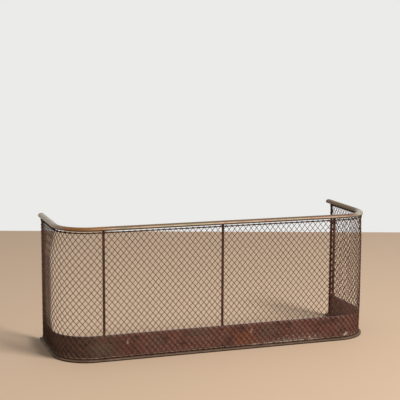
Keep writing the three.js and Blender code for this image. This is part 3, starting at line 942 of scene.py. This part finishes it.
def makeWires(name, hand, material):
    curve = bpy.data.curves.new(name, "CURVE")
    curve.dimensions = "3D"
    curve.bevel_depth = net["wireRadius"]
    curve.bevel_resolution = 1
    curve.use_fill_caps = True
    firstNumber = -net["rows"] if hand > 0 else 0
    for number in range(firstNumber, firstNumber + math.ceil(net["cellsRound"]) + net["rows"]):
        points = wirePoints(hand, number)
        spline = curve.splines.new("POLY")
        spline.points.add(len(points) - 1)
        for control, place in zip(spline.points, points):
            control.co = (*place, 1)
    drawn = bpy.data.objects.new(name + "Line", curve)
    scene.collection.objects.link(drawn)
    bpy.context.view_layer.update()
    solid = drawn.evaluated_get(bpy.context.evaluated_depsgraph_get())
    mesh = bpy.data.meshes.new_from_object(solid)
    bpy.data.objects.remove(drawn)
    mesh.name = name
    bm = bmesh.new()
    bm.from_mesh(mesh)
    bmesh.ops.remove_doubles(bm, verts=bm.verts, dist=sameSpot)
    bmesh.ops.recalc_face_normals(bm, faces=bm.faces)
    bm.to_mesh(mesh)
    bm.free()
    panels = ["net_front", "net_corner_left", "net_corner_right", "net_side_left", "net_side_right"]
    placePiece(name, mesh, material, panels, sharpAngle=60)
    print(name, len(mesh.polygons), "faces")


makeWires("netWiresRising", 1, litHandWire)
makeWires("netWiresFalling", -1, shadedHandWire)
print("net made")


easing = {
    "stay": 0.3 * millimetre,
    "stud": 0.15 * millimetre,
    "coreBar": 0.4 * millimetre,
    "steps": 2,
    "sharperThan": math.radians(40),
    "mergeWithin": 0.005 * millimetre,
    "flatWithin": math.radians(1),
}


# uprights, fasteners and rail ends keep the frame's own shapes; where ease says so, their edges
# are rounded
def easedCopy(node, name, material, ease=0, sharpAngle=35):
    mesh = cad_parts[node].data.copy()
    mesh.name = name
    bm = bmesh.new()
    bm.from_mesh(mesh)
    bmesh.ops.remove_doubles(bm, verts=bm.verts, dist=easing["mergeWithin"])
    bmesh.ops.dissolve_limit(
        bm, angle_limit=easing["flatWithin"], verts=bm.verts, edges=bm.edges,
        use_dissolve_boundaries=False,
    )
    bm.to_mesh(mesh)
    bm.free()
    piece = placePiece(name, mesh, material, [node], sharpAngle)
    if ease:
        rounded = piece.modifiers.new("eased", "BEVEL")
        rounded.width = ease
        rounded.segments = easing["steps"]
        rounded.limit_method = "ANGLE"
        rounded.angle_limit = easing["sharperThan"]
        rounded.harden_normals = True


# a rivet is turned from the outline of its flat head, its shank and its domed tail
def makeRivet(side):
    low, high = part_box("skirt_rivet_" + side)
    rivet = {
        "headRadius": 2.9 * millimetre,
        "headRise": 0.25 * millimetre,
        "shankRadius": 1.5 * millimetre,
        "tailRadius": (high.x - low.x) / 2,
        "tailRise": 1.3 * millimetre,
        "domeSteps": 5,
        "turns": 20,
    }
    length = high.y - low.y
    middle = (low + high) / 2
    bm = bmesh.new()
    profile = []
    for radius, rise, tip, direction in (
        (rivet["headRadius"], rivet["headRise"], -rivet["headRise"], 1),
        (rivet["tailRadius"], rivet["tailRise"], length, -1),
    ):
        dome = []
        for step in range(rivet["domeSteps"] + 1):
            lean = math.pi / 2 * step / rivet["domeSteps"]
            depth = tip + direction * rise * (1 - math.cos(lean))
            dome.append((radius * math.sin(lean), depth))
        dome.append((rivet["shankRadius"], dome[-1][1]))
        profile += dome if direction > 0 else reversed(dome)
    chain = [bm.verts.new((radius, depth, 0)) for radius, depth in profile]
    edges = [bm.edges.new(pair) for pair in zip(chain, chain[1:])]
    bmesh.ops.spin(
        bm, geom=chain + edges, cent=(0, 0, 0), axis=(0, 1, 0), angle=2 * math.pi,
        steps=rivet["turns"], use_merge=True,
    )
    bmesh.ops.remove_doubles(bm, verts=bm.verts, dist=sameSpot)
    bmesh.ops.recalc_face_normals(bm, faces=bm.faces)
    bmesh.ops.translate(bm, verts=bm.verts, vec=(middle.x, low.y, middle.z))
    makePiece("skirtRivet" + side.capitalize(), bm, barIron, ["skirt_rivet_" + side])


for side in ("left", "right"):
    label = side.capitalize()
    easedCopy("rear_post_" + side, "rearPost" + label, barIron)
    easedCopy("rail_end_" + side, "railEnd" + label, brass, sharpAngle=50)
for side in ("left", "centre", "right"):
    label = side.capitalize()
    easedCopy("front_stay_" + side, "frontStay" + label, barIron, easing["stay"])
    easedCopy("rod_stud_bottom_" + side, "bottomStud" + label, barIron, easing["stud"])
    easedCopy("rod_stud_top_" + side, "topStud" + label, barIron, easing["stud"])
    makeRivet(side)
easedCopy("rail_core_bar", "railCoreBar", barIron, easing["coreBar"])
print("uprights, fasteners and rail ends made")


# the photograph's camera: place in metres, turns in radians, the lens in pixels of its frame
view = {
    "place": Vector((-1.1416, -3.2721, 0.9626)),
    "turn": 0.3269,
    "pitch": 0.1476,
    "roll": 0.0041,
    "focalPixels": 1115.36,
    "imagePixels": 400,
    "axisX": 197.46,
    "axisY": 199.40,
    "sensorWidth": 36,  # millimetres
    "nearest": 0.05,  # metres
}


def makeCamera():
    data = bpy.data.cameras.new("camera")
    data.sensor_width = view["sensorWidth"]
    data.lens = data.sensor_width * view["focalPixels"] / view["imagePixels"]
    data.shift_x = 0.5 - view["axisX"] / view["imagePixels"]
    data.shift_y = view["axisY"] / view["imagePixels"] - 0.5
    data.clip_start = view["nearest"]
    camera = bpy.data.objects.new("camera", data)
    scene.collection.objects.link(camera)
    camera.matrix_world = (
        Matrix.Translation(view["place"])
        @ Matrix.Rotation(-view["turn"], 4, "Z")
        @ Matrix.Rotation(math.pi / 2 - view["pitch"], 4, "X")
        @ Matrix.Rotation(view["roll"], 4, "Z")
    )
    scene.camera = camera


def makeFloor():
    floor = {
        "back": 5.4,
        "width": 12.0,
        "front": 4.0,
        "colour": paint(200, 172, 144),
        "roughness": 0.75,
    }
    bm = bmesh.new()
    bmesh.ops.create_grid(bm, x_segments=1, y_segments=1, size=0.5)
    depth = floor["back"] + floor["front"]
    bmesh.ops.scale(bm, verts=bm.verts, vec=(floor["width"], depth, 1))
    bmesh.ops.translate(bm, verts=bm.verts, vec=(0, (floor["back"] - floor["front"]) / 2, 0))
    bmesh.ops.rotate(
        bm, verts=bm.verts, cent=(0, 0, 0), matrix=Matrix.Rotation(-view["turn"], 3, "Z"),
    )
    bmesh.ops.translate(bm, verts=bm.verts, vec=(view["place"].x, view["place"].y, 0))
    mesh = bpy.data.meshes.new("floor")
    bm.to_mesh(mesh)
    bm.free()
    material, _, shader = newMaterial("paleFloor")
    shader.inputs["Base Color"].default_value = floor["colour"]
    shader.inputs["Roughness"].default_value = floor["roughness"]
    mesh.materials.append(material)
    piece = bpy.data.objects.new("floor", mesh)
    scene.collection.objects.link(piece)


def makeLight():
    light = {
        "sky": (1.0, 1.0, 1.0, 1),
        "skyStrength": 0.32,
        "shown": paint(235, 235, 233),
        "keyPower": 290,
        "keySize": 1.5,
        "keyPlace": Vector((1.8, -2.9, 4.4)),
        "keyAim": Vector((0, 0, 0.2)),
    }
    world = bpy.data.worlds.new("studio")
    world.use_nodes = True
    scene.world = world
    tree = world.node_tree
    tree.nodes.clear()
    path = addNode(tree, "LightPath").outputs
    direct = calculate(tree, "MAXIMUM", path["Is Camera Ray"], path["Is Glossy Ray"])
    seen = calculate(tree, "MAXIMUM", direct, path["Is Transmission Ray"])
    lit = addNode(tree, "Background", {0: light["sky"], 1: light["skyStrength"]})
    shown = addNode(tree, "Background", {0: light["shown"], 1: 1.0})
    both = addNode(tree, "MixShader", {0: seen, 1: lit.outputs[0], 2: shown.outputs[0]})
    out = addNode(tree, "OutputWorld", {0: both.outputs[0]})
    out.is_active_output = True
    data = bpy.data.lights.new("key", "AREA")
    data.energy = light["keyPower"]
    data.size = light["keySize"]
    lamp = bpy.data.objects.new("key", data)
    scene.collection.objects.link(lamp)
    lamp.location = light["keyPlace"]
    lamp.rotation_euler = (light["keyAim"] - light["keyPlace"]).to_track_quat("-Z", "Y").to_euler()


makeCamera()
makeFloor()
makeLight()
print("floor, light and camera made")
